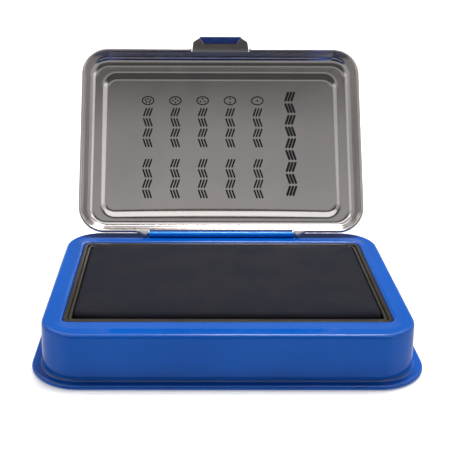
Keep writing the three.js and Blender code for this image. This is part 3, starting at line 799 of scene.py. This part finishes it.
def thumb_tab():
    """The front side's sheet bent out as a tab, its free edge folded back so that the paint shows."""
    lean = math.radians(SKIRT_LEAN)
    bend = TAB_SHEET + TAB_BEND
    centre_d = TAB_LIFT + bend
    skirt_a = BEAD + BEAD * math.cos(math.radians(BEAD_OPEN))
    skirt_d = BEAD - BEAD * math.sin(math.radians(BEAD_OPEN))
    arc_d = centre_d - bend * math.sin(lean)
    arc_a = skirt_a + (arc_d - skirt_d) * math.tan(lean)
    centre_a = arc_a - bend * math.cos(lean)
    fold_a = TAB_SHEET + TAB_FOLD - TAB_REACH
    path = [(arc_a + (TAB_ROOT - arc_d) * math.tan(lean), TAB_ROOT)]
    path += arc(centre_a, centre_d, bend, -SKIRT_LEAN, -90, BEND_STEPS)
    flat_from = len(path) - 1
    path += [(centre_a + (fold_a - centre_a) * (i + 1) / TAB_FLAT_PARTS, TAB_LIFT)
             for i in range(TAB_FLAT_PARTS)]
    fold_from = len(path) - 1
    path += arc(fold_a, TAB_LIFT - TAB_FOLD, TAB_FOLD, 90, 270, BEND_STEPS)[1:]
    path += [(fold_a + TAB_HEM * (i + 1) / TAB_HEM_PARTS, TAB_LIFT - 2 * TAB_FOLD)
             for i in range(TAB_HEM_PARTS)]

    def between(first, last, share):
        return first + (last - first) * share

    def half_width(i):
        inset = path[i][0]
        if i <= flat_from or inset > 0:
            return TAB_HALF
        if i > fold_from:
            return between(TAB_TIP_HALF, TAB_HEM_HALF, max(inset - fold_a, 0) / TAB_HEM)
        past_shoulder = -inset - TAB_SHOULDER_REACH
        if past_shoulder < 0:
            return between(TAB_HALF, TAB_SHOULDER_HALF, -inset / TAB_SHOULDER_REACH)
        return between(TAB_SHOULDER_HALF, TAB_TIP_HALF, past_shoulder / (-fold_a - TAB_SHOULDER_REACH))

    points = [(LID_FRONT + inset, RIM_Z + depth) for inset, depth in path]
    # The tab's painted side takes the darker copy of the enamel: painted shade
    return smooth(strip("thumb_tab", points, -TAB_SHEET, half_width, (TIN, SHADED_HEM_ENAMEL), TAB_COLUMNS))


def hinge_ear(side):
    """A pointed lug that grows out of the bead and closes round the pin."""
    bead = Vector((LID_REAR - BEAD, RIM_Z + BEAD))
    turns = [2 * math.pi * i / EAR_TURNS for i in range(EAR_TURNS)]
    rings = []
    for x, grown in EAR_GROWTH:
        centre = bead * (1 - grown)
        radius = BEAD + (EAR_RADIUS - BEAD) * grown
        ring = []
        for t in turns:
            way = Vector((math.cos(t), math.sin(t)))
            on_lug, on_bead = centre + way * radius, bead + way * BEAD
            tip = on_lug if on_lug.dot(way) > on_bead.dot(way) else on_bead
            ring.append(Vector((side * x * MM, tip.x, tip.y)))
        rings.append(ring)
    return smooth(loft("hinge_ear", rings, (DULL_TIN,), caps=((0, 0), (-1, 0))), SOFT_CREASE)


# ---- Printed legend -----------------------------------------------------------------------------------

def capsule(start, end, width, steps):
    """Outline of a stroke with round ends."""
    start, end = Vector(start), Vector(end)
    heading = math.degrees(math.atan2(end.y - start.y, end.x - start.x))
    return (arc(end.x, end.y, width / 2, heading - 90, heading + 90, steps)
            + arc(start.x, start.y, width / 2, heading + 90, heading + 270, steps))


def hatched_block(x, u, size, lean):
    """A small block of parallel slanting strokes; lean is 1 or -1."""
    width, height, stroke = size
    run = width * BLOCK_LEAN * lean
    rise = height / 2 - stroke / 2
    pitch = (width - abs(run) - stroke) / (BLOCK_STROKES - 1)
    middles = [x + pitch * (i - (BLOCK_STROKES - 1) / 2) for i in range(BLOCK_STROKES)]
    return [capsule((m - run / 2, u - rise), (m + run / 2, u + rise), stroke, STROKE_STEPS)
            for m in middles]


def legend_outlines():
    """Outlines of the legend's strokes and dots: a bold run of blocks, then the columns."""
    outlines = []
    for i in range(TITLE_BLOCKS):
        u = TITLE_TOP - TITLE_PITCH * i - TITLE_DROP
        outlines += hatched_block(TITLE_X, u, TITLE_BLOCK, 1 - 2 * (i % 2))
    for column in range(COLUMNS):
        x = COLUMN_X - COLUMN_PITCH * column
        dots = column + 1
        spread = DOT_SPREAD if dots > 1 else 0
        for dot in range(dots):
            turn = 2 * math.pi * dot / dots + math.pi / 2
            centre = (x + spread * math.cos(turn), RING_U + DOT_SQUASH * spread * math.sin(turn))
            outlines.append(capsule(centre, centre, DOT, DOT_STEPS))
        for first, last in COLUMN_RUNS:
            pitch = (first - last) / RUN_BLOCKS
            for i in range(RUN_BLOCKS):
                outlines += hatched_block(x, first - pitch * (i + 0.5), COLUMN_BLOCK, 1 - 2 * (i % 2))
    return outlines


def printed_legend():
    """Five ringed groups of dots, each over two runs of hatched blocks, beside a bolder run of blocks."""
    bm = bmesh.new()
    panel_z = RIM_Z + PANEL_DEPTH
    top, bottom = panel_z - INK_ABOVE, panel_z + INK_BELOW

    def row(outline, z):
        return [bm.verts.new((x * MM, LID_REAR - u * MM, z)) for x, u in outline]

    def join(low, high):
        for i in range(len(low)):
            j = (i + 1) % len(low)
            bm.faces.new((low[i], low[j], high[j], high[i]))

    for outline in legend_outlines():
        low, high = row(outline, top), row(outline, bottom)
        bm.faces.new(low)
        bm.faces.new(high)
        join(low, high)
    turns = [2 * math.pi * i / RING_TURNS for i in range(RING_TURNS)]
    section = ((RING_OUTER, top), (RING_INNER, top), (RING_INNER, bottom), (RING_OUTER, bottom))
    for column in range(COLUMNS):
        x = COLUMN_X - COLUMN_PITCH * column
        rows = [row([(x + a * math.cos(t), RING_U + b * math.sin(t)) for t in turns], z)
                for (a, b), z in section]
        for low, high in zip(rows, rows[1:] + rows[:1]):
            join(low, high)
    return new_object("printed_legend", mesh_from("printed_legend", bm), INK)


# ---- Stage --------------------------------------------------------------------------------------------

# The room's brightness at angles up from the front horizon; 90 is overhead, 180 the back horizon
ROOM = ((-180, 0.3), (-135, 0.3), (-118, 0.01), (-60, 0.01), (-42, 0.12), (-10, 0.17), (4, 0.04),
        (36, 0.03), (40, 0.08), (42, 0.2), (44, 0.23), (46, 0.16), (50, 0.17), (52, 0.06), (54, 0.02),
        (93, 0.04), (104, 0.65), (128, 0.75), (139, 0.2), (152, 0.08), (165, 0.08), (176, 0.3))
ROOM_SIDES = 0.2                # brightness to the left and right, where all those angles meet
SIDES_FROM, SIDES_TO = 0.45, 0.8
ROOM_STRENGTH = 2.5
FLOOR_HALF, FLOOR_PARTS = 3, 8
WALL_RADIUS, WALL_COVE, WALL_HEIGHT = 1.7, 0.45, 2.4
WALL_LIFT = 0.5 * MM            # the wall's foot above the floor
WALL_TURNS, WALL_COVE_STEPS = 96, 12
CEILING_HOLE, CEILING_RISE = 0.05, 0.3


def softbox(name, position, target, size, radiance, reflected):
    """A flat lamp that shows only in reflections, or, if not reflected, one that shows in none."""
    light = bpy.data.lights.new(name, "AREA")
    light.shape = "RECTANGLE"
    light.size, light.size_y = size
    light.energy = radiance * math.pi * size[0] * size[1]
    lamp = bpy.data.objects.new(name, light)
    bpy.context.scene.collection.objects.link(lamp)
    lamp.location = position
    lamp.rotation_euler = (Vector(target) - Vector(position)).to_track_quat("-Z", "Y").to_euler()
    lamp.visible_diffuse = not reflected
    lamp.visible_glossy = reflected


def studio_world():
    """A soft room whose brightness follows a turn about the X axis: front, up and over, back, below."""
    world = bpy.data.worlds.new("studio")
    world.use_nodes = True
    nodes, links = world.node_tree.nodes, world.node_tree.links
    separate = nodes.new("ShaderNodeSeparateXYZ")
    links.new(nodes.new("ShaderNodeTexCoord").outputs["Generated"], separate.inputs["Vector"])
    flip = nodes.new("ShaderNodeMath")
    flip.operation = "MULTIPLY"
    flip.inputs[1].default_value = -1
    links.new(separate.outputs["Y"], flip.inputs[0])
    angle = nodes.new("ShaderNodeMath")
    angle.operation = "ARCTAN2"
    links.new(separate.outputs["Z"], angle.inputs[0])
    links.new(flip.outputs["Value"], angle.inputs[1])
    share = nodes.new("ShaderNodeMapRange")
    share.inputs["From Min"].default_value = -math.pi
    share.inputs["From Max"].default_value = math.pi
    links.new(angle.outputs["Value"], share.inputs["Value"])
    ramp = nodes.new("ShaderNodeValToRGB")
    ramp.color_ramp.interpolation = "EASE"
    elements = ramp.color_ramp.elements
    given = len(elements)       # a new ramp already has two
    for index, (degrees, level) in enumerate(ROOM):
        position = (degrees + 180) / 360
        element = elements[index] if index < given else elements.new(position)
        element.position = position
        element.color = (level, level, level, 1)
    links.new(share.outputs["Result"], ramp.inputs["Fac"])
    sideways = nodes.new("ShaderNodeMath")
    sideways.operation = "ABSOLUTE"
    links.new(separate.outputs["X"], sideways.inputs[0])
    side_share = nodes.new("ShaderNodeMapRange")
    side_share.interpolation_type = "SMOOTHSTEP"
    side_share.inputs["From Min"].default_value = SIDES_FROM
    side_share.inputs["From Max"].default_value = SIDES_TO
    links.new(sideways.outputs["Value"], side_share.inputs["Value"])
    blend = nodes.new("ShaderNodeMixRGB")
    blend.inputs["Color2"].default_value = (ROOM_SIDES, ROOM_SIDES, ROOM_SIDES, 1)
    links.new(side_share.outputs["Result"], blend.inputs["Fac"])
    links.new(ramp.outputs["Color"], blend.inputs["Color1"])
    background = nodes["Background"]
    links.new(blend.outputs["Color"], background.inputs["Color"])
    background.inputs["Strength"].default_value = ROOM_STRENGTH
    bpy.context.scene.world = world


def backdrop():
    """A pale wall round the floor, seen by the camera only."""
    look = Look("pale_wall", Base_Color=(0, 0, 0, 1), Roughness=1, Emission_Strength=0.95)
    look.link(Emission_Color=look.mix(look.noise(2, 2), (0.98, 0.98, 0.98), (1, 1, 1)))
    profile = [(WALL_RADIUS - WALL_COVE, WALL_LIFT)]
    profile += arc(WALL_RADIUS - WALL_COVE, WALL_COVE, WALL_COVE, -90, 0, WALL_COVE_STEPS)
    profile += [(WALL_RADIUS, WALL_HEIGHT), (CEILING_HOLE, WALL_HEIGHT + CEILING_RISE)]
    turns = [2 * math.pi * i / WALL_TURNS for i in range(WALL_TURNS)]
    rings = [[Vector((r * math.cos(t), r * math.sin(t), z)) for t in turns] for r, z in profile]
    wall = smooth(loft("backdrop", rings, (look.material,)), SOFT_CREASE)
    wall.visible_diffuse = False
    wall.visible_glossy = False
    wall.visible_shadow = False


def build_stage():
    """Floor, backdrop, room and lamps. The diffuse light is one softbox; the cards only show as gloss."""
    bm = bmesh.new()
    bmesh.ops.create_grid(bm, x_segments=FLOOR_PARTS, y_segments=FLOOR_PARTS, size=FLOOR_HALF)
    floor = new_object("floor", mesh_from("floor", bm), pale_floor())
    floor.visible_glossy = False
    backdrop()
    studio_world()
    middle, lid = (0, 0, 0), (0, 0.05, 0.05)
    softbox("key_softbox", (0.15, 0.3, 0.95), middle, (0.34, 0.3), 30, reflected=False)
    softbox("window_card", (0.15, 0.32, 0.95), middle, (0.38, 0.34), 10, reflected=True)
    softbox("ceiling_card", (0, -0.22, 1.0), lid, (1.7, 0.34), 1.35, reflected=True)
    softbox("right_card", (0.6, -0.54, 0.88), lid, (0.5, 0.6), 0.72, reflected=True)
    softbox("left_card", (-0.6, -0.54, 0.88), lid, (0.5, 0.6), 0.45, reflected=True)


def build_camera():
    """The camera: in front of the pad, looking down at it."""
    camera = bpy.data.cameras.new("camera")
    camera.lens = 68.6
    camera.sensor_width = 36
    camera.shift_x = 0.065
    camera.clip_start = 0.01
    rig = bpy.data.objects.new("camera", camera)
    bpy.context.scene.collection.objects.link(rig)
    pitch, yaw, roll = math.radians(21.45), math.radians(-0.31), math.radians(0.2)
    turn = (Matrix.Rotation(yaw, 4, "Z") @ Matrix.Rotation(math.pi / 2 - pitch, 4, "X")
            @ Matrix.Rotation(roll, 4, "Z"))
    rig.matrix_world = Matrix.Translation((-0.01277, -0.29936, 0.15784)) @ turn
    bpy.context.scene.camera = rig


# ---- Putting it together ------------------------------------------------------------------------------

# Carried-over CAD nodes; the hidden ones get a finish too
node_looks = {"bottom_plate": STEEL, "hinge_leaf": ENAMEL, "hinge_pin": STEEL, "ink_tray": TRAY_PLASTIC,
              "pad_frame": FRAME_PLASTIC, "pad_cloth": CLOTH, "pad_foam": FOAM, "reservoir_felt": FELT,
              "backing_board": BOARD, "base_shell": ENAMEL, "lid_shell": TIN}
for node, look in node_looks.items():
    materials = frame["nodes"][node].data.materials
    if not materials:
        materials.append(look)
    for index in range(len(materials)):
        materials[index] = look

base_pieces = ((base_case, "base_shell", "blue_paint"), (bottom_plate, "bottom_plate", "plain_steel"),
               (hinge_leaf, "hinge_leaf", "blue_paint"), (hinge_pin, "hinge_pin", "plain_steel"),
               (ink_tray, "ink_tray", "dark_plastic"), (pad_frame, "pad_frame", "dark_plastic"),
               (foam_core, "pad_foam", "inked_foam"), (stamp_pad, "pad_cloth", "inked_cloth"))
for make, node, slot in base_pieces:
    piece = make()
    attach(piece, "base")
    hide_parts(node)

# The lid is made shut, with the hinge axis as its origin, and turned open here
opening = Matrix.Translation(HINGE) @ Matrix.Rotation(-OPEN_ANGLE, 4, "X")
pan = lid_pan()
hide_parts("lid_shell")
for piece in (pan, thumb_tab(), hinge_ear(-1), hinge_ear(1), printed_legend()):
    piece.data.transform(opening)
    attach(piece, "lid")

build_stage()
build_camera()
bpy.context.scene.view_settings.view_transform = "Standard"
